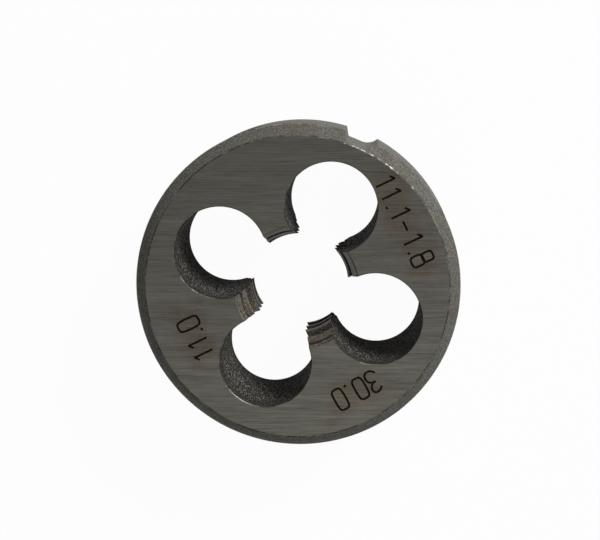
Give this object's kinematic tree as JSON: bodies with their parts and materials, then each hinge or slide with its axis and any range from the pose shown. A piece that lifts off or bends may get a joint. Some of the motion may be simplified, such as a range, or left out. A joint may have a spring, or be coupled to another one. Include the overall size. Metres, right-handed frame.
{
  "type": "round threading die",
  "caption": "Solid round die of hardened steel that cuts an outside thread: threaded bore, clearance holes, lead cones and a rim notch.",
  "frame": {"origin": "centre of the back face, on the axis of the bore", "axes": "+Z along the bore from the back face to the front face, +Y from the axis towards the adjusting notch in the rim"},
  "size_m": [0.03, 0.0299, 0.011],
  "materials": {
    "tool_steel": "ground faces, grit-blasted rim and chamfers, dark from hardening"
  },
  "bodies": {
    "root": {"die_body": "tool_steel"}
  },
  "joints": []
}
